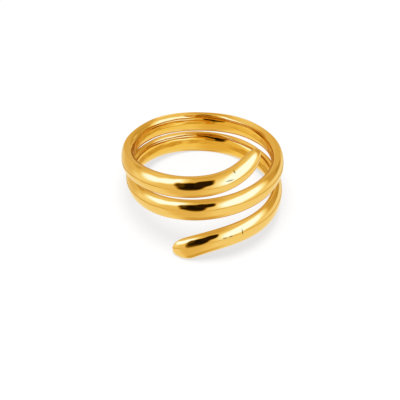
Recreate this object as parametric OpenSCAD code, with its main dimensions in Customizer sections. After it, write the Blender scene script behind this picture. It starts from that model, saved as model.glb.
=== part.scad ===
// Triple loop ring: one polished band, coiled a little over two turns into three strands at the front.
// The slim tip lies at the top right of the front and the blunt end at the bottom left.
// The coil stands as it comes to rest on a table, leaning back on its lowest points.

/* [Finger hole] */
// Inside diameter of the finger hole
hole_d = 17.3; // [15:0.1:22]

/* [Band] */
// Angle at which the top tip ends, right of the front
tip_angle = 44; // [20:0.5:44]
// Angle at which the bottom end stops, left of the front
end_angle = 27.5; // [0:0.5:32]
// Length over which the top tip rounds off
tip_round = 2.3; // [1:0.1:4]
// Pointedness of the top tip: 1 is a plain ellipse, less is blunter
tip_point = 0.75; // [0.6:0.05:1.5]
// Length over which the bottom end rounds off
end_round = 1.9; // [1:0.1:4]
// Pointedness of the bottom end
end_point = 1.3; // [0.6:0.05:1.5]
// Crest of the outer dome: 1 is an ellipse, more stands up to a tighter crest
dome_crest = 1.6; // [1:0.05:1.9]

/* [Stance] */
// Lean of the coil towards the back
lean_back = 17.2; // [0:0.1:30]
// Lean of the coil towards the left
lean_left = 4.2; // [-10:0.1:20]

/* [Smoothness] */
// Angle between neighbouring cross-sections
section_step = 3.6; // [3.4:0.1:10]
// Facets across the outer dome
dome_facets = 12; // [8:2:14]

/* [Hidden] */

hole_r = hole_d / 2;

// The band's course. Angles count from the front, clockwise seen from above, over all the turns.
// Each row pulls the band's middle line, its width and its thickness, as in a uniform B-spline.
ANGLE = 0;
HEIGHT = 1;
WIDTH = 2;
THICKNESS = 3;
COURSE = [
    // angle, height, width, thickness
    [ -90, 21.40, 2.33, 1.41],
    [ -45,  9.00, 2.33, 1.55],
    [   0,  7.30, 2.80, 1.57],
    [  45,  7.50, 2.76, 1.59],
    [  90,  7.00, 2.72, 1.59],
    [ 135,  7.46, 2.79, 1.57],
    [ 180,  6.76, 2.72, 1.54],
    [ 225,  6.36, 2.75, 1.51],
    [ 270,  5.52, 2.59, 1.49],
    [ 315,  4.85, 2.71, 1.43],
    [ 360,  4.25, 2.75, 1.38],
    [ 405,  4.05, 2.73, 1.27],
    [ 450,  4.25, 2.72, 1.21],
    [ 495,  4.52, 2.84, 1.27],
    [ 540,  3.95, 2.94, 1.26],
    [ 585,  2.90, 3.08, 1.26],
    [ 630,  1.54, 3.00, 1.26],
    [ 675,  0.45, 2.97, 1.27],
    [ 720,  0.15, 2.63, 1.27],
    [ 765, -3.60, 3.18, 1.27],
    [ 810,-14.80, 2.84, 1.27],
];
row_step = COURSE[1][ANGLE] - COURSE[0][ANGLE];

// How the cross-section changes along the course, with smooth easing between the rows. The dome's crest
// lies below the band's middle line by the drop, a share of half the width. The depth and height of the
// two inner corners are shares of the thickness and of half the width. An inner corner rounds over into
// the dome where its edge is 1, and meets it more crisply above that.
DROP = 1;
DEPTH = 2;
RISE = 3;
EDGE = 4;
SECTION = [
    // angle, drop, depth, height, edge
    [  0, 0.20, 0.73, 0.70, 1.0],
    [ 90, 0.12, 0.72, 0.70, 1.0],
    [135, 0.06, 0.33, 0.82, 1.3],
    [180, 0.02, 0.17, 0.88, 1.5],
    [225, 0.02, 0.35, 0.82, 1.2],
    [270, 0.02, 0.70, 0.68, 1.0],
    [360, 0.02, 0.73, 0.58, 1.0],
    [450, 0.02, 0.66, 0.62, 1.0],
    [495, 0.02, 0.33, 0.78, 1.3],
    [540, 0.02, 0.19, 0.84, 1.5],
    [585, 0.02, 0.35, 0.76, 1.2],
    [630, 0.02, 0.64, 0.56, 1.0],
    [720, 0.02, 0.68, 0.46, 1.0],
];

// Before the hole is cut, the inner side of the band stands this far inside it
hole_stock = 0.12;
// Facets in each inner corner and in each rounded end
corner_facets = 3;
end_facets = 9;
// Where the inner corner starts, in degrees from the wall
corner_start = 24;
// Share of the thickness, from the hole, at which an end closes
end_seat = 0.45;

whole_turns = 2;
first_angle = -tip_angle;
last_angle = 360 * whole_turns + end_angle;
tip_turn = tip_round / hole_r * 180 / PI;
end_turn = end_round / hole_r * 180 / PI;

// Uniform cubic B-spline through one column of the course, and its slope for each degree
function place(angle) = (angle - COURSE[0][ANGLE]) / row_step;
function spline(angle, column) =
    let (i = floor(place(angle)), f = place(angle) - i,
         a = COURSE[i - 1][column], b = COURSE[i][column],
         c = COURSE[i + 1][column], d = COURSE[i + 2][column])
    (pow(1 - f, 3) * a + (3 * pow(f, 3) - 6 * f * f + 4) * b
        + (-3 * pow(f, 3) + 3 * f * f + 3 * f + 1) * c + pow(f, 3) * d) / 6;
function rise(angle) =
    let (half = 0.5)
    spline(angle + half, HEIGHT) - spline(angle - half, HEIGHT);

// A value of the section table, eased between its rows
function section_value(angle, column) =
    let (row = max(concat([0], [for (i = [0:len(SECTION) - 2]) if (SECTION[i][ANGLE] <= angle) i])),
         from = SECTION[row], to = SECTION[row + 1],
         share = min(max((angle - from[ANGLE]) / (to[ANGLE] - from[ANGLE]), 0), 1))
    from[column] + (1 - cos(180 * share)) / 2 * (to[column] - from[column]);

// One cross-section as [out from the hole, up across the band] points, from the bottom over the
// dome to the top, down the upper inner corner, along the hole and round the lower inner corner
function dome(w, t, drop, depth) =
    [for (i = [0:dome_facets])
        let (a = -90 + 180 * i / dome_facets, crown = pow(cos(a), dome_crest))
        [t * (depth + (1 - depth) * crown), w / 2 * (sin(a) - drop * crown)]];
function inner_corner(w, t, depth, height, edge) =
    [for (i = [1:corner_facets])
        let (a = 90 - (90 - corner_start) * i / corner_facets)
        [depth * t * (1 - pow(cos(a), edge)), w / 2 * (1 - height * (1 - sin(a)))]];
function mirrored(points) =
    [for (i = [len(points) - 1:-1:0]) [points[i][0], -points[i][1]]];
function cross_section(angle, w, t) =
    let (depth = section_value(angle, DEPTH), height = section_value(angle, RISE),
         corner = inner_corner(w, t, depth, height, section_value(angle, EDGE)),
         upper = concat(corner, [[-hole_stock, w / 2 * (1 - height)]]))
    concat(dome(w, t, section_value(angle, DROP), depth), upper, mirrored(upper));

// The cross-section at an angle of the course, shrunk towards its seat by a factor for the ends
function ring_points(angle, shrink) =
    let (w = spline(angle, WIDTH), t = spline(angle, THICKNESS),
         tilt = atan(rise(angle) * 180 / PI / hole_r),
         outward = [-sin(angle), -cos(angle), 0],
         onward = [-cos(angle), sin(angle), 0],
         across = cos(tilt) * [0, 0, 1] - sin(tilt) * onward,
         seat = end_seat * t)
    [for (p = cross_section(angle, w, t))
        outward * (hole_r + seat + shrink * (p[0] - seat))
            + across * shrink * p[1]
            + [0, 0, spline(angle, HEIGHT)]];

// Stations along the band: [angle, shrink], closing in on a point at both ends
body_from = first_angle + tip_turn;
body_to = last_angle - end_turn;
body_count = ceil((body_to - body_from) / section_step);
STATIONS = concat(
    [for (i = [1:end_facets])
        let (a = 90 * i / end_facets) [body_from - tip_turn * cos(a), pow(sin(a), tip_point)]],
    [for (i = [1:body_count - 1]) [body_from + (body_to - body_from) * i / body_count, 1]],
    [for (i = [end_facets:-1:1])
        let (a = 90 * i / end_facets) [body_to + end_turn * cos(a), pow(sin(a), end_point)]]);
RINGS = [for (s = STATIONS) ring_points(s[0], s[1])];
around = len(RINGS[0]);
ring_count = len(RINGS);

function closing(angle) =
    let (r = hole_r + end_seat * spline(angle, THICKNESS))
    [-sin(angle) * r, -cos(angle) * r, spline(angle, HEIGHT)];
POINTS = concat(
    [for (ring = RINGS) for (p = ring) p],
    [closing(first_angle), closing(last_angle)]);
tip_index = ring_count * around;
end_index = tip_index + 1;

function at(ring, k) = ring * around + (k + around) % around;
FACES = concat(
    [for (r = [0:ring_count - 2]) for (k = [0:around - 1])
        each [[at(r, k), at(r + 1, k), at(r, k + 1)],
              [at(r, k + 1), at(r + 1, k), at(r + 1, k + 1)]]],
    [for (k = [0:around - 1]) [tip_index, at(0, k), at(0, k + 1)]],
    [for (k = [0:around - 1]) [end_index, at(ring_count - 1, k + 1), at(ring_count - 1, k)]]);

// The stance: the coil leans, then its box is centred over the table with its lowest point on it
function leant(p) =
    let (b = [p[0], p[1] * cos(lean_back) + p[2] * sin(lean_back),
              -p[1] * sin(lean_back) + p[2] * cos(lean_back)])
    [b[0] * cos(lean_left) - b[2] * sin(lean_left), b[1], b[0] * sin(lean_left) + b[2] * cos(lean_left)];
LEANT = [for (p = POINTS) leant(p)];
function lowest(axis) = min([for (p = LEANT) p[axis]]);
function highest(axis) = max([for (p = LEANT) p[axis]]);
stand_at = [(lowest(0) + highest(0)) / 2, (lowest(1) + highest(1)) / 2, lowest(2)];

// The finger hole's cutter runs well past both faces of the coil
hole_from = -10;
hole_to = 20;

module coil_band()
    color("goldenrod")
    translate(-stand_at)
    rotate([0, -lean_left, 0])
    rotate([-lean_back, 0, 0])
    difference() {
        polyhedron(points = POINTS, faces = FACES, convexity = 8);
        translate([0, 0, hole_from])
            cylinder(r = hole_r, h = hole_to - hole_from, $fn = 180);
    }

coil_band();
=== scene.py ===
"""Triple loop ring: one polished gold band, coiled into three strands, on a pale studio floor."""

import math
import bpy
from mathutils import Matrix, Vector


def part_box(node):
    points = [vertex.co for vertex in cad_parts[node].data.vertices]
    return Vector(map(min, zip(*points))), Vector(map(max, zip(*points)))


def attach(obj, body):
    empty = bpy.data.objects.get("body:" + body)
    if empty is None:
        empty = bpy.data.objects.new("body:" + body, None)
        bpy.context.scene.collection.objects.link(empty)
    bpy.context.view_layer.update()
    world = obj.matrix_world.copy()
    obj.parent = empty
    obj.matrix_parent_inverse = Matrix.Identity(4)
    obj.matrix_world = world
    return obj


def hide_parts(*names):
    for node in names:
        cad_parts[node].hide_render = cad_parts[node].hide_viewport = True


bl_info = {
    "name": "Triple Loop Ring",
    "version": (1, 0, 0),
    "blender": (4, 5, 0),
    "location": "3D View > Sidebar > Ring",
    "description": "Builds a polished coiled ring over its packed frame, with a soft studio around it",
    "category": "Add Mesh",
}

from collections import namedtuple

import bpy
import numpy as np
from bpy.props import FloatProperty, FloatVectorProperty, IntProperty, PointerProperty
from mathutils import Color, Matrix, Vector

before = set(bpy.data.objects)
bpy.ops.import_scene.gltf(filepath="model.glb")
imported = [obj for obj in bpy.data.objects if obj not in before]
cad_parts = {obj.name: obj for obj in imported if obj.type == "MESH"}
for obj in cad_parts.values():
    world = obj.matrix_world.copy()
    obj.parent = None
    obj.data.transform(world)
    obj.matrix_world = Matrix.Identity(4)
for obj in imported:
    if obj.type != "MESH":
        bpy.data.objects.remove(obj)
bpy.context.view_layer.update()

MM = 0.001
NODE = "coil_band"
BODY = "root"
PLACE_ATTRIBUTE = "band_place"

# The band's course over all its turns, in degrees and millimetres. Angles count from the front, clockwise
# seen from above. Each row pulls the band's middle line, width and thickness, as in a uniform B-spline.
ANGLE, HEIGHT, WIDTH, THICKNESS = range(4)
COURSE = np.array([
    # angle, height, width, thickness
    (-90, 21.40, 2.33, 1.41),
    (-45, 9.00, 2.33, 1.55),
    (0, 7.30, 2.80, 1.57),
    (45, 7.50, 2.76, 1.59),
    (90, 7.00, 2.72, 1.59),
    (135, 7.46, 2.79, 1.57),
    (180, 6.76, 2.72, 1.54),
    (225, 6.36, 2.75, 1.51),
    (270, 5.52, 2.59, 1.49),
    (315, 4.85, 2.71, 1.43),
    (360, 4.25, 2.75, 1.38),
    (405, 4.05, 2.73, 1.27),
    (450, 4.25, 2.72, 1.21),
    (495, 4.52, 2.84, 1.27),
    (540, 3.95, 2.94, 1.26),
    (585, 2.90, 3.08, 1.26),
    (630, 1.54, 3.00, 1.26),
    (675, 0.45, 2.97, 1.27),
    (720, 0.15, 2.63, 1.27),
    (765, -3.60, 3.18, 1.27),
    (810, -14.80, 2.84, 1.27),
])
ROW_STEP = COURSE[1, ANGLE] - COURSE[0, ANGLE]
# Degrees in the coil's two whole turns
WHOLE_TURNS = 720
# How the cross-section changes along the course, with smooth easing between the rows. The dome's crest lies
# below the band's middle line by the drop, a share of half the width. The depth and height of the two inner
# corners are shares of the thickness and of half the width. An inner corner rounds over into the dome where
# its edge is 1, and meets it more crisply above that.
DROP, DEPTH, RISE, EDGE = range(1, 5)
SECTION = np.array([
    # angle, drop, depth, height, edge
    (0, 0.20, 0.73, 0.70, 1.0),
    (90, 0.12, 0.72, 0.70, 1.0),
    (135, 0.06, 0.33, 0.82, 1.3),
    (180, 0.02, 0.17, 0.88, 1.5),
    (225, 0.02, 0.35, 0.82, 1.2),
    (270, 0.02, 0.70, 0.68, 1.0),
    (360, 0.02, 0.73, 0.58, 1.0),
    (450, 0.02, 0.66, 0.62, 1.0),
    (495, 0.02, 0.33, 0.78, 1.3),
    (540, 0.02, 0.19, 0.84, 1.5),
    (585, 0.02, 0.35, 0.76, 1.2),
    (630, 0.02, 0.64, 0.56, 1.0),
    (720, 0.02, 0.68, 0.46, 1.0),
])
# Share of the thickness, from the hole, at which an end closes
END_SEAT = 0.45

# The soft boxes and flags round the ring, as the gold reflects them. Azimuths count from the front, positive
# to the right, and elevations from the horizon, in degrees. The slant is degrees up for each degree to the
# right. The tone runs from 0, black, to 1, the brightest soft box.
Card = namedtuple("Card", "name azimuth elevation half_width half_height slant softness tone")
CARDS = (
    Card("front ceiling", -20, 55, 42, 26, 0.0, 0.4, 0.60),
    Card("left wall", -118, 13, 30, 24, 0.0, 0.4, 0.665),
    Card("left wall mark", -108, 5, 8, 9, 0.0, 0.5, 0.55),
    Card("left low wall", -122, -22, 16, 12, 0.0, 0.5, 0.67),
    Card("left high glow", -94, 28, 20, 8, 0.0, 0.6, 0.77),
    Card("back wall", 180, 8, 34, 36, 0.0, 0.5, 0.64),
    Card("right wall", 107, 7, 17, 23, 0.0, 0.35, 0.58),
    Card("right wall foot", 121, -7, 12, 9, 0.0, 0.6, 0.50),
    Card("right back wall", 129, 23, 24, 10, 0.0, 0.5, 0.56),
    Card("right back mark", 145, 7, 8, 8, 0.0, 0.5, 0.56),
    Card("right back shadow", 138, 38, 34, 8, 0.0, 0.5, 0.60),
    Card("right low wall", 148, -24, 10, 9, 0.0, 0.5, 0.64),
    Card("high left soft box", -146, 53, 32, 9, 0.1, 0.5, 0.84),
    Card("high left haze", -100, 55, 22, 8, -0.2, 0.6, 0.75),
    Card("high right haze", 64, 65, 28, 11, 0.0, 0.5, 0.75),
    Card("high right soft box", 129, 58, 42, 12, -0.1, 0.35, 0.86),
    Card("left sheet border", -85, -20, 20, 8, 0.42, 0.5, 0.80),
    Card("right sheet border", 106, -20, 36, 7, -0.25, 0.5, 0.79),
    Card("left low soft box", -76, -2.5, 14, 8.5, 0.3, 0.5, 0.97),
    Card("left soft box", -56, 8, 25, 11, 0.65, 0.4, 1.0),
    Card("right soft box", 49, 9, 37, 17.5, 0.08, 0.35, 1.0),
    Card("flag shadow", -17, -16, 14, 2, 0.0, 0.5, 0.58),
    Card("dark flag", -19, 4.5, 17, 15, 0.1, 0.2, 0.06),
    Card("dark flag wing", -4, 15, 13, 10.5, 0.1, 0.2, 0.09),
    Card("dark flag tip", -34, 8, 6, 7, 0.0, 0.4, 0.20),
)
# Shade on the white sheet, in front of the ring
SHEET_CARDS = (
    Card("flag's shade on the sheet", -21, -27, 26, 17, 0.0, 0.6, 0.68),
    Card("shade before the ring", 0, -58, 30, 14, 0.0, 0.6, 0.59),
)
ROOM_TONE = 0.72
# The white sheet under the ring, as the gold reflects it: a cone about an axis a little forward of straight
# down. Its turned-up edge shows as a thin darker line.
SHEET_AZIMUTH = 15
SHEET_TILT = 18
SHEET_REACH = 60.5
EDGE_WIDTH = 2.2
SHEET_TONE = 0.785
EDGE_TONE = 0.56
# How the gold shows a tone: green is the tone itself. Red comes up sooner, as in an exposure that runs over.
# Blue comes up later, as the square of green, and blooms in the brightest soft boxes.
RED_RISE = 2.7
BLUE_SHARE = 0.37
BLUE_BLOOM = 0.36
BLOOM_POWER = 6
# Even steps in which the world's colour ramp follows that
TONE_STOPS = 16
# What is left of the light at each further reflection between the turns, because the coil shades itself
BOUNCE_KEPT = 0.8

# Small marks that polishing left in the gold, each a shallow dent with painted shade in its dark colour:
# places along the course in degrees and across the band in millimetres, half sizes in millimetres, and how
# far each runs across for each millimetre along
Mark = namedtuple("Mark", "name angle across half_length half_width slant")
MARKS = (
    Mark("kink in the first turn", -22.4, 0.85, 0.08, 0.22, 0.0),
    Mark("line below the kink", -17.0, 0.14, 0.42, 0.07, 0.2),
    Mark("tick in the last turn", 694.2, 0.22, 0.07, 0.40, 0.0),
    Mark("dash in the last turn", 703.2, 0.16, 0.24, 0.08, 0.0),
    Mark("second dash in the last turn", 707.4, 0.20, 0.28, 0.07, 0.1),
)
# A mark fades between these shares of its half sizes
MARK_FADE = (0.6, 1.4)
# The band's middle turns on this radius, in millimetres, where a length along it is worked out
BAND_RADIUS = 9.35
# Distances out from the hole's wall, in millimetres, over which the painted shade on the wall ends and the
# marks begin
WALL_SHADE_ENDS = (0.02, 0.14)
MARKS_BEGIN = (0.5, 0.8)
# Noise cells for each millimetre along, across and out of the band
WAVE_CELLS = (0.42, 0.75, 0.75)
LINE_CELLS = (0.3, 13.0, 13.0)
CLOUD_CELLS = (0.5, 0.9, 0.9)
# Part of the clouds' noise over which the polish dulls
CLOUD_RANGE = (0.35, 0.65)


# The camera's sensor, in millimetres, and the nearest thing that it sees, in metres
SENSOR_WIDTH = 36
NEAREST_SEEN = 0.005
FLOOR_SEGMENTS = 96


class RingShape(bpy.types.PropertyGroup):
    """Sizes of the coiled band, the same as its solid's"""

    hole_diameter: FloatProperty(
        name="Finger hole", description="Inside diameter, in millimetres", default=17.3, min=15.0, max=22.0)
    tip_angle: FloatProperty(
        name="Tip angle", description="Degrees right of the front at which the tip ends", default=44.0)
    end_angle: FloatProperty(
        name="End angle", description="Degrees left of the front at which the blunt end stops", default=27.5)
    tip_round: FloatProperty(
        name="Tip rounding", description="Length over which the tip rounds off, in millimetres", default=2.3)
    tip_point: FloatProperty(
        name="Tip pointedness", description="1 is a plain ellipse, less is blunter", default=0.75)
    end_round: FloatProperty(
        name="End rounding", description="Length over which the blunt end rounds off, in millimetres",
        default=1.9)
    end_point: FloatProperty(
        name="End pointedness", description="1 is a plain ellipse, less is blunter", default=1.3)
    dome_crest: FloatProperty(
        name="Dome crest", description="1 is an ellipse, more has a tighter crest", default=1.6,
        min=1.0, max=1.9)
    lean_back: FloatProperty(
        name="Lean back", description="Degrees that the resting coil leans back", default=17.2)
    lean_left: FloatProperty(
        name="Lean left", description="Degrees that the resting coil leans left", default=4.2)
    sections: IntProperty(
        name="Sections", description="Cross-sections along the straight run of the band", default=820, min=60)
    end_sections: IntProperty(
        name="End sections", description="Cross-sections in each rounded end", default=32, min=6)
    dome_steps: IntProperty(
        name="Dome steps", description="Faces across the outer dome", default=60, min=8)
    corner_steps: IntProperty(
        name="Corner steps", description="Faces in each inner corner", default=20, min=2)
    wall_steps: IntProperty(
        name="Wall steps", description="Faces across the wall of the finger hole", default=4, min=1)


class GoldFinish(bpy.types.PropertyGroup):
    """Colours and polish of the gold plate, with painted shade on the hole's wall and in the small marks"""

    gold: FloatVectorProperty(
        name="Gold", description="Colour of the plate", subtype="COLOR", size=3, default=(0.95, 0.62, 0.18),
        min=0.0, max=1.0)
    # Painted shade: a deeper, warmer gold on the wall of the finger hole, for the darker light it gets
    # between the turns
    shaded_wall_gold: FloatVectorProperty(
        name="Wall gold", description="Deeper colour on the wall of the finger hole", subtype="COLOR", size=3,
        default=(0.95, 0.57, 0.10), min=0.0, max=1.0)
    # Painted shade: the dark colour in the small marks stands in for the shade in their dents
    shaded_mark_gold: FloatVectorProperty(
        name="Mark gold", description="Dull colour in the small marks", subtype="COLOR", size=3,
        default=(0.30, 0.17, 0.03), min=0.0, max=1.0)
    polish: FloatProperty(
        name="Polish", description="Roughness where the polish is best", default=0.035, min=0.0, max=1.0)
    haze: FloatProperty(
        name="Haze", description="Roughness where the polish is dullest", default=0.09, min=0.0, max=1.0)
    waviness: FloatProperty(
        name="Waviness", description="Height of the slow waves in the surface", default=0.000035,
        unit="LENGTH", precision=6)
    line_share: FloatProperty(
        name="Polishing lines", description="Height of the fine lines, as a share of the waves'",
        default=0.013)
    dent_share: FloatProperty(
        name="Dents", description="Depth of the small marks, as a share of the waves'", default=0.12)


class StudioLook(bpy.types.PropertyGroup):
    """Camera, lights and floor"""

    camera_azimuth: FloatProperty(
        name="Azimuth", description="Direction in which the camera looks, in degrees from +Y to +X",
        default=4.68)
    camera_elevation: FloatProperty(
        name="Elevation", description="Degrees that the camera looks down", default=48.03)
    camera_roll: FloatProperty(
        name="Roll", description="Degrees that the camera tips", default=3.29)
    camera_distance: FloatProperty(
        name="Distance", description="From the aim to the camera", default=0.130, unit="LENGTH")
    camera_aim: FloatVectorProperty(
        name="Aim", description="Point in the middle of the view", subtype="XYZ", unit="LENGTH",
        default=(-0.000202, -0.001007, 0.000351))
    camera_lens: FloatProperty(
        name="Lens", description="Focal length, in millimetres", default=90.44)
    floor_radius: FloatProperty(
        name="Floor radius", description="Reach of the floor round the ring", default=1.5, unit="LENGTH")
    floor_colour: FloatVectorProperty(
        name="Floor", description="Colour of the floor", subtype="COLOR", size=3, default=(0.92, 0.92, 0.92),
        min=0.0, max=1.0)
    floor_glow: FloatProperty(
        name="Floor glow", description="Light that comes up through the floor sheet", default=0.65, min=0.0)
    room_light: FloatProperty(
        name="Room light", description="Strength of the white light all round", default=0.15, min=0.0)
    lamp_strength: FloatProperty(
        name="Lamp", description="Strength of the overhead lamp", default=0.85, min=0.0)
    lamp_softness: FloatProperty(
        name="Lamp softness", description="Width of the overhead lamp as the ring sees it, in degrees",
        default=36.0, min=0.0, max=90.0)
    lamp_left: FloatProperty(
        name="Lamp left", description="Degrees that the lamp stands left of straight overhead", default=4.0)


def course_value(angle, column):
    """Uniform cubic B-spline through one column of the course, at one angle or an array of them."""
    place = (np.asarray(angle, float) - COURSE[0, ANGLE]) / ROW_STEP
    row = np.floor(place).astype(int)
    f = place - row
    a, b, c, d = (COURSE[row + k, column] for k in (-1, 0, 1, 2))
    weights = ((1 - f) ** 3, 3 * f ** 3 - 6 * f * f + 4, -3 * f ** 3 + 3 * f * f + 3 * f + 1, f ** 3)
    return sum(w * v for w, v in zip(weights, (a, b, c, d))) / 6


def section_value(angle, column):
    """A value of the section table, eased between its rows."""
    angles, values = SECTION[:, ANGLE], SECTION[:, column]
    angle = min(max(angle, angles[0]), angles[-1])
    row = min(int(np.searchsorted(angles, angle, "right")) - 1, len(angles) - 2)
    share = (angle - angles[row]) / (angles[row + 1] - angles[row])
    share = (1 - math.cos(math.pi * share)) / 2
    return float(values[row] + share * (values[row + 1] - values[row]))


def cross_section(angle, shape):
    """One cross-section as rows of (out from the hole, up across the band).

    They run over the dome, down the upper inner corner and the wall, and round the lower corner.
    """
    half = float(course_value(angle, WIDTH)) / 2
    thickness = float(course_value(angle, THICKNESS))
    drop, depth, height, edge = (section_value(angle, column) for column in (DROP, DEPTH, RISE, EDGE))
    a = np.radians(np.linspace(-90, 90, shape.dome_steps + 1))
    crown = np.maximum(np.cos(a), 0) ** shape.dome_crest
    dome = np.c_[thickness * (depth + (1 - depth) * crown), half * (np.sin(a) - drop * crown)]
    a = np.radians(np.linspace(90, 0, shape.corner_steps + 1)[1:])
    upper = np.c_[
        depth * thickness * (1 - np.maximum(np.cos(a), 0) ** edge),
        half * (1 - height * (1 - np.sin(a)))]
    wall_edge = half * (1 - height)
    heights = np.linspace(wall_edge, -wall_edge, shape.wall_steps + 1)[1:-1]
    wall = np.c_[np.zeros(len(heights)), heights]
    lower = upper[::-1] * (1, -1)
    return np.vstack([dome, upper, wall, lower])


def band_points(shape):
    """The band's rings of points in the coil's own frame, the two points that close its ends, and all places.

    A point's place is its length along the band, its height across it and its distance out from the wall.
    """
    hole_r = shape.hole_diameter / 2
    first = -shape.tip_angle
    last = WHOLE_TURNS + shape.end_angle
    tip_turn = math.degrees(shape.tip_round / hole_r)
    end_turn = math.degrees(shape.end_round / hole_r)
    rounding = np.radians(np.linspace(0, 90, shape.end_sections + 1)[1:])
    straight = np.linspace(first + tip_turn, last - end_turn, shape.sections + 1)[1:-1]
    angles = np.concatenate([
        first + tip_turn * (1 - np.cos(rounding)),
        straight,
        last - end_turn * (1 - np.cos(rounding[::-1]))])
    shrinks = np.concatenate([
        np.sin(rounding) ** shape.tip_point,
        np.ones(len(straight)),
        np.sin(rounding[::-1]) ** shape.end_point])
    rings, places = [], []
    for angle, shrink in zip(angles, shrinks):
        thickness = float(course_value(angle, THICKNESS))
        rise = float(course_value(angle + 0.5, HEIGHT) - course_value(angle - 0.5, HEIGHT))
        tilt = math.atan(math.degrees(rise) / hole_r)
        turn = math.radians(angle)
        outward = np.array([-math.sin(turn), -math.cos(turn), 0])
        onward = np.array([-math.cos(turn), math.sin(turn), 0])
        across = math.cos(tilt) * np.array([0, 0, 1]) - math.sin(tilt) * onward
        seat = END_SEAT * thickness
        section = cross_section(angle, shape)
        out = hole_r + seat + shrink * (section[:, :1] - seat)
        middle = np.array([0, 0, float(course_value(angle, HEIGHT))])
        rings.append(out * outward + shrink * section[:, 1:] * across + middle)
        along = np.full((len(section), 1), turn * BAND_RADIUS)
        places.append(np.hstack([along, shrink * section[:, 1:], out - hole_r]))
    closing, closing_places = [], []
    for angle in (first, last):
        seat = END_SEAT * float(course_value(angle, THICKNESS))
        reach = hole_r + seat
        turn = math.radians(angle)
        closing.append([-math.sin(turn) * reach, -math.cos(turn) * reach, float(course_value(angle, HEIGHT))])
        closing_places.append([turn * BAND_RADIUS, 0.0, seat])
    return np.array(rings), np.array(closing), np.vstack([*places, closing_places])


def stance(shape):
    """The lean of the resting coil, as a rotation."""
    back = Matrix.Rotation(math.radians(-shape.lean_back), 3, "X")
    left = Matrix.Rotation(math.radians(-shape.lean_left), 3, "Y")
    return np.array(left @ back)


def coil_faces(count, around):
    """Four-sided faces between the rings, and a fan of triangles at either end."""
    k = np.arange(around)
    following = (k + 1) % around
    quads = []
    for ring in range(count - 1):
        near, far = ring * around, (ring + 1) * around
        quads.append(np.c_[near + k, near + following, far + following, far + k])
    faces = np.vstack(quads).tolist()
    tip, end = count * around, count * around + 1
    last = (count - 1) * around
    faces += [(tip, b, a) for a, b in zip(k.tolist(), following.tolist())]
    faces += [(end, last + a, last + b) for a, b in zip(k.tolist(), following.tolist())]
    return faces


class RING_OT_coil_band(bpy.types.Operator):
    """Build the smooth coiled band over its solid"""

    bl_idname = "ring.coil_band"
    bl_label = "Coiled Band"

    def execute(self, context):
        shape = context.scene.ring_shape
        rings, closing, places = band_points(shape)
        lean = stance(shape)
        points = np.vstack([rings.reshape(-1, 3), closing]) @ lean.T * MM
        low, high = (np.array(corner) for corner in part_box(NODE))
        middle = (points.min(0) + points.max(0)) / 2
        foot = np.array([middle[0], middle[1], points[:, 2].min()])
        stand = np.array([(low[0] + high[0]) / 2, (low[1] + high[1]) / 2, low[2]])
        points += stand - foot

        mesh = bpy.data.meshes.new("polished_coil")
        mesh.from_pydata(points.tolist(), [], coil_faces(*rings.shape[:2]))
        band_place = mesh.attributes.new(PLACE_ATTRIBUTE, "FLOAT_VECTOR", "POINT")
        band_place.data.foreach_set("vector", places.ravel())
        mesh.shade_smooth()
        coil = bpy.data.objects.new("polished_coil", mesh)
        context.scene.collection.objects.link(coil)
        mesh.materials.append(polished_gold(context.scene.gold_finish))
        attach(coil, BODY)
        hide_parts(NODE)
        return {"FINISHED"}


def aim_camera(look):
    """The camera, placed by its aim, distance and angles."""
    azimuth = math.radians(look.camera_azimuth)
    elevation = math.radians(look.camera_elevation)
    ahead = Vector((
        math.sin(azimuth) * math.cos(elevation),
        math.cos(azimuth) * math.cos(elevation),
        -math.sin(elevation)))
    roll = Matrix.Rotation(math.radians(look.camera_roll), 3, "Z").to_quaternion()
    data = bpy.data.cameras.new("studio_camera")
    data.lens = look.camera_lens
    data.sensor_width = SENSOR_WIDTH
    data.clip_start = NEAREST_SEEN
    camera = bpy.data.objects.new("studio_camera", data)
    camera.rotation_mode = "QUATERNION"
    camera.rotation_quaternion = ahead.to_track_quat("-Z", "Y") @ roll
    camera.location = Vector(look.camera_aim) - ahead * look.camera_distance
    return camera


def fill_inputs(tree, item, inputs):
    """Link or set a node's inputs, by name or number."""
    for socket, value in inputs.items():
        if isinstance(value, bpy.types.NodeSocket):
            tree.links.new(value, item.inputs[socket])
        else:
            item.inputs[socket].default_value = value


def add_node(tree, kind, inputs=(), **settings):
    """A node with its settings, and its inputs linked or set by name or number."""
    item = tree.nodes.new(kind)
    for name, value in settings.items():
        setattr(item, name, value)
    fill_inputs(tree, item, dict(inputs))
    return item


def maths(tree, operation, *values):
    """The output of a Math node on numbers or sockets."""
    return add_node(tree, "ShaderNodeMath", enumerate(values), operation=operation).outputs[0]


def mix_value(tree, factor, a, b):
    """One value mixed into another."""
    return add_node(tree, "ShaderNodeMix", {"Factor": factor, "A": a, "B": b}).outputs["Result"]


def mix_colour(tree, factor, a, b):
    """One colour mixed into another, each a socket or three numbers."""
    item = tree.nodes.new("ShaderNodeMix")
    item.data_type = "RGBA"
    for name, value in (("Factor_Float", factor), ("A_Color", a), ("B_Color", b)):
        socket = next(one for one in item.inputs if one.identifier == name)
        if isinstance(value, bpy.types.NodeSocket):
            tree.links.new(value, socket)
        else:
            socket.default_value = (*value, 1.0)
    return next(one for one in item.outputs if one.identifier == "Result_Color")


def fall_off(tree, value, start, end):
    """1 up to the start and 0 from the end, with a smooth change between."""
    return add_node(
        tree, "ShaderNodeMapRange",
        {"Value": value, "From Min": start, "From Max": end, "To Min": 1.0, "To Max": 0.0},
        interpolation_type="SMOOTHSTEP").outputs[0]


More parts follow.
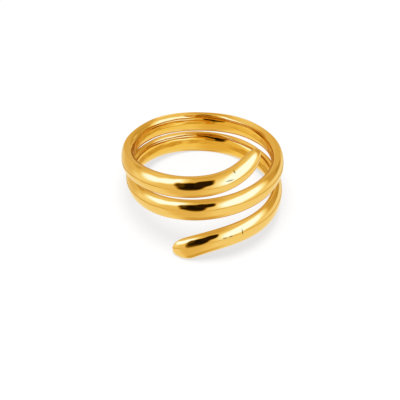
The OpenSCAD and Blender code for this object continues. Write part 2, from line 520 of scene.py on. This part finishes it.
def mark_group():
    """A node group: how far a place lies in a small soft mark, from 0 to 1."""
    tree = bpy.data.node_groups.new("polish_mark", "ShaderNodeTree")
    tree.interface.new_socket("Place", in_out="INPUT", socket_type="NodeSocketVector")
    for name in ("Along", "Across", "Half Length", "Half Width", "Slant"):
        tree.interface.new_socket(name, in_out="INPUT", socket_type="NodeSocketFloat")
    tree.interface.new_socket("Mask", in_out="OUTPUT", socket_type="NodeSocketFloat")
    given = tree.nodes.new("NodeGroupInput").outputs
    place = add_node(tree, "ShaderNodeSeparateXYZ", {0: given["Place"]}).outputs
    along = maths(tree, "SUBTRACT", place["X"], given["Along"])
    across = maths(tree, "SUBTRACT", place["Y"], given["Across"])
    across = maths(tree, "SUBTRACT", across, maths(tree, "MULTIPLY", along, given["Slant"]))
    reach = maths(
        tree, "SQRT",
        maths(tree, "ADD",
              maths(tree, "POWER", maths(tree, "DIVIDE", along, given["Half Length"]), 2.0),
              maths(tree, "POWER", maths(tree, "DIVIDE", across, given["Half Width"]), 2.0)))
    result = tree.nodes.new("NodeGroupOutput")
    tree.links.new(fall_off(tree, reach, *MARK_FADE), result.inputs["Mask"])
    return tree


def stretched_noise(tree, place, cells, detail):
    """Noise over the band's own places, with its cells for each millimetre along, across and out."""
    scaled = add_node(tree, "ShaderNodeVectorMath", {0: place, 1: cells}, operation="MULTIPLY").outputs[0]
    noise = add_node(tree, "ShaderNodeTexNoise", {"Vector": scaled, "Scale": 1.0, "Detail": detail})
    return noise.outputs[0]


def polished_gold(finish):
    """Mirror-polished gold plate with slow waves, fine lines along the band and a few small marks, with
    painted shade on the hole's wall and in the marks.
    """
    material = bpy.data.materials.new("polished_gold")
    material.use_nodes = True
    tree = material.node_tree
    shader = tree.nodes["Principled BSDF"]
    place = add_node(tree, "ShaderNodeAttribute", attribute_name=PLACE_ATTRIBUTE).outputs["Vector"]
    waves = stretched_noise(tree, place, WAVE_CELLS, 1.0)
    lines = stretched_noise(tree, place, LINE_CELLS, 2.0)
    clouds = stretched_noise(tree, place, CLOUD_CELLS, 3.0)

    marks = 0.0
    group = mark_group()
    for mark in MARKS:
        mask = add_node(tree, "ShaderNodeGroup", node_tree=group, label=mark.name)
        fill_inputs(tree, mask, {
            "Place": place, "Along": math.radians(mark.angle) * BAND_RADIUS, "Across": mark.across,
            "Half Length": mark.half_length, "Half Width": mark.half_width, "Slant": mark.slant})
        marks = maths(tree, "MAXIMUM", mask.outputs["Mask"], marks)

    out = add_node(tree, "ShaderNodeSeparateXYZ", {0: place}).outputs["Z"]
    marks_from, marks_full = MARKS_BEGIN
    on_dome = add_node(
        tree, "ShaderNodeMapRange", {"Value": out, "From Min": marks_from, "From Max": marks_full}).outputs[0]
    marks = maths(tree, "MULTIPLY", marks, on_dome)
    # Painted shade: the wall of the finger hole takes the deeper gold, fading out over the wall shade ends
    gold = mix_colour(tree, fall_off(tree, out, *WALL_SHADE_ENDS), finish.gold, finish.shaded_wall_gold)
    # Painted shade: the small marks take their dark colour, over the same mask that dents the surface
    colour = mix_colour(tree, marks, gold, finish.shaded_mark_gold)
    height = maths(tree, "MULTIPLY_ADD", lines, finish.line_share, waves)
    height = maths(tree, "SUBTRACT", height, maths(tree, "MULTIPLY", marks, finish.dent_share))
    clear, dull = CLOUD_RANGE
    roughness = add_node(tree, "ShaderNodeMapRange", {
        "Value": clouds, "From Min": clear, "From Max": dull,
        "To Min": finish.polish, "To Max": finish.haze})
    bump = add_node(tree, "ShaderNodeBump", {"Distance": finish.waviness, "Height": height})
    fill_inputs(tree, shader, {
        "Base Color": colour, "Metallic": 1.0, "Roughness": roughness.outputs[0],
        "Normal": bump.outputs["Normal"]})
    return material


def soft_card_group():
    """A node group: how far a direction lies on a soft-edged card, from 0 to 1."""
    tree = bpy.data.node_groups.new("soft_card", "ShaderNodeTree")
    for name in ("Azimuth", "Elevation", "Centre Azimuth", "Centre Elevation",
                 "Half Width", "Half Height", "Slant", "Softness"):
        tree.interface.new_socket(name, in_out="INPUT", socket_type="NodeSocketFloat")
    tree.interface.new_socket("Mask", in_out="OUTPUT", socket_type="NodeSocketFloat")
    given = tree.nodes.new("NodeGroupInput").outputs
    squareness = 3.0
    half_turn = 180.0
    aside = maths(tree, "SUBTRACT", given["Azimuth"], given["Centre Azimuth"])
    aside = maths(tree, "WRAP", aside, half_turn, -half_turn)
    above = maths(tree, "SUBTRACT", given["Elevation"], given["Centre Elevation"])
    above = maths(tree, "SUBTRACT", above, maths(tree, "MULTIPLY", aside, given["Slant"]))
    across = maths(tree, "ABSOLUTE", maths(tree, "DIVIDE", aside, given["Half Width"]))
    up = maths(tree, "ABSOLUTE", maths(tree, "DIVIDE", above, given["Half Height"]))
    reach = maths(
        tree, "POWER",
        maths(tree, "ADD", maths(tree, "POWER", across, squareness), maths(tree, "POWER", up, squareness)),
        1 / squareness)
    inner = maths(tree, "SUBTRACT", 1.0, given["Softness"])
    outer = maths(tree, "ADD", 1.0, given["Softness"])
    result = tree.nodes.new("NodeGroupOutput")
    tree.links.new(fall_off(tree, reach, inner, outer), result.inputs["Mask"])
    return tree


def sheet_tone(tree, tone):
    """The tone with the white sheet and its edge laid over it."""
    azimuth, tilt = math.radians(SHEET_AZIMUTH), math.radians(SHEET_TILT)
    axis = (math.sin(azimuth) * math.sin(tilt), -math.cos(azimuth) * math.sin(tilt), -math.cos(tilt))
    direction = tree.nodes.new("ShaderNodeTexCoord").outputs["Generated"]
    cosine = add_node(
        tree, "ShaderNodeVectorMath", {0: direction, 1: axis}, operation="DOT_PRODUCT").outputs["Value"]
    reach = maths(tree, "DEGREES", maths(tree, "ARCCOSINE", cosine))
    from_edge = maths(tree, "ABSOLUTE", maths(tree, "SUBTRACT", reach, SHEET_REACH + EDGE_WIDTH / 2))
    tone = mix_value(tree, fall_off(tree, reach, SHEET_REACH - EDGE_WIDTH, SHEET_REACH), tone, SHEET_TONE)
    return mix_value(tree, fall_off(tree, from_edge, 0.0, EDGE_WIDTH), tone, EDGE_TONE)


def tone_light(tone, gold):
    """The light in which this gold shows a tone, in linear red, green and blue."""
    green = min(Color((tone, tone, tone)).from_srgb_to_scene_linear().g, 1.0)
    red = 1 - (1 - green) ** RED_RISE
    blue = BLUE_SHARE * green ** 2 + BLUE_BLOOM * green ** BLOOM_POWER
    return [shown / kept for shown, kept in zip((red, green, blue), gold)]


def studio_world(look, gold):
    """White light all round, in which polished metal sees the cards."""
    world = bpy.data.worlds.new("studio_world")
    world.use_nodes = True
    tree = world.node_tree
    tree.nodes.clear()
    card_group = soft_card_group()
    direction = add_node(
        tree, "ShaderNodeSeparateXYZ", {0: tree.nodes.new("ShaderNodeTexCoord").outputs["Generated"]}).outputs
    front = maths(tree, "MULTIPLY", direction["Y"], -1.0)
    azimuth = maths(tree, "DEGREES", maths(tree, "ARCTAN2", direction["X"], front))
    elevation = maths(tree, "DEGREES", maths(tree, "ARCSINE", direction["Z"]))

    def lay_card(tone, card):
        mask = add_node(tree, "ShaderNodeGroup", node_tree=card_group, label=card.name)
        fill_inputs(tree, mask, {
            "Azimuth": azimuth, "Elevation": elevation,
            "Centre Azimuth": card.azimuth, "Centre Elevation": card.elevation,
            "Half Width": card.half_width, "Half Height": card.half_height,
            "Slant": card.slant, "Softness": card.softness})
        return mix_value(tree, mask.outputs["Mask"], tone, card.tone)

    tone = ROOM_TONE
    for card in CARDS:
        tone = lay_card(tone, card)
    tone = sheet_tone(tree, tone)
    for card in SHEET_CARDS:
        tone = lay_card(tone, card)
    ramp = add_node(tree, "ShaderNodeValToRGB", {0: tone})
    stops = ramp.color_ramp.elements
    while len(stops) < TONE_STOPS:
        stops.new(1.0)
    for stop, place in zip(stops, np.linspace(0, 1, TONE_STOPS).tolist()):
        stop.position = place
        stop.color = (*tone_light(place, gold), 1.0)
    rays = tree.nodes.new("ShaderNodeLightPath").outputs
    # Only metal that is seen without a diffuse surface between sees the cards
    direct = maths(tree, "LESS_THAN", rays["Diffuse Depth"], 0.5)
    straight = maths(tree, "MULTIPLY", rays["Is Glossy Ray"], direct)
    further = maths(tree, "MAXIMUM", maths(tree, "SUBTRACT", rays["Glossy Depth"], 1.0), 0.0)
    seen = add_node(
        tree, "ShaderNodeBackground",
        {"Color": ramp.outputs["Color"], "Strength": maths(tree, "POWER", BOUNCE_KEPT, further)})
    brightness = mix_value(tree, rays["Is Camera Ray"], look.room_light, 1.0)
    white = add_node(tree, "ShaderNodeBackground", {"Color": (1.0, 1.0, 1.0, 1.0), "Strength": brightness})
    mixed = add_node(tree, "ShaderNodeMixShader", {0: straight, 1: white.outputs[0], 2: seen.outputs[0]})
    result = tree.nodes.new("ShaderNodeOutputWorld")
    tree.links.new(mixed.outputs[0], result.inputs["Surface"])
    return world


def studio_floor(look):
    """A plain pale round floor under the ring."""
    turn = np.linspace(0, 2 * math.pi, FLOOR_SEGMENTS, endpoint=False)
    rim = np.c_[np.cos(turn), np.sin(turn), 0 * turn] * look.floor_radius
    mesh = bpy.data.meshes.new("studio_floor")
    mesh.from_pydata(rim.tolist(), [], [tuple(range(FLOOR_SEGMENTS))])
    floor = bpy.data.objects.new("studio_floor", mesh)
    material = bpy.data.materials.new("studio_floor")
    material.use_nodes = True
    shader = material.node_tree.nodes["Principled BSDF"].inputs
    shader["Base Color"].default_value = (*look.floor_colour, 1.0)
    shader["Roughness"].default_value = 1.0
    shader["Specular IOR Level"].default_value = 0.0
    shader["Emission Color"].default_value = (1.0, 1.0, 1.0, 1.0)
    shader["Emission Strength"].default_value = look.floor_glow
    mesh.materials.append(material)
    floor.visible_glossy = False
    return floor


def overhead_lamp(look):
    """A wide soft lamp nearly straight above, which lights the floor."""
    data = bpy.data.lights.new("overhead_lamp", "SUN")
    data.energy = look.lamp_strength
    data.angle = math.radians(look.lamp_softness)
    lamp = bpy.data.objects.new("overhead_lamp", data)
    lamp.rotation_euler = (0.0, math.radians(-look.lamp_left), 0.0)
    lamp.visible_glossy = False
    return lamp


class RING_OT_studio(bpy.types.Operator):
    """Set the floor, the soft light and the camera"""

    bl_idname = "ring.studio"
    bl_label = "Studio"

    def execute(self, context):
        scene = context.scene
        look = scene.studio_look
        camera = aim_camera(look)
        scene.collection.objects.link(camera)
        scene.camera = camera
        scene.collection.objects.link(studio_floor(look))
        scene.collection.objects.link(overhead_lamp(look))
        scene.world = studio_world(look, scene.gold_finish.gold)
        scene.view_settings.view_transform = "Standard"
        return {"FINISHED"}


class RING_PT_panel(bpy.types.Panel):
    """The ring's pieces and studio in the sidebar"""

    bl_idname = "RING_PT_panel"
    bl_label = "Triple Loop Ring"
    bl_space_type = "VIEW_3D"
    bl_region_type = "UI"
    bl_category = "Ring"

    def draw(self, context):
        for operator in (RING_OT_coil_band, RING_OT_studio):
            self.layout.operator(operator.bl_idname)


CLASSES = (RingShape, GoldFinish, StudioLook, RING_OT_coil_band, RING_OT_studio, RING_PT_panel)


def register():
    for item in CLASSES:
        bpy.utils.register_class(item)
    bpy.types.Scene.ring_shape = PointerProperty(type=RingShape)
    bpy.types.Scene.gold_finish = PointerProperty(type=GoldFinish)
    bpy.types.Scene.studio_look = PointerProperty(type=StudioLook)


def unregister():
    del bpy.types.Scene.studio_look
    del bpy.types.Scene.gold_finish
    del bpy.types.Scene.ring_shape
    for item in reversed(CLASSES):
        bpy.utils.unregister_class(item)


def main():
    register()
    bpy.ops.ring.studio()
    bpy.ops.ring.coil_band()


if __name__ == "__main__":
    main()
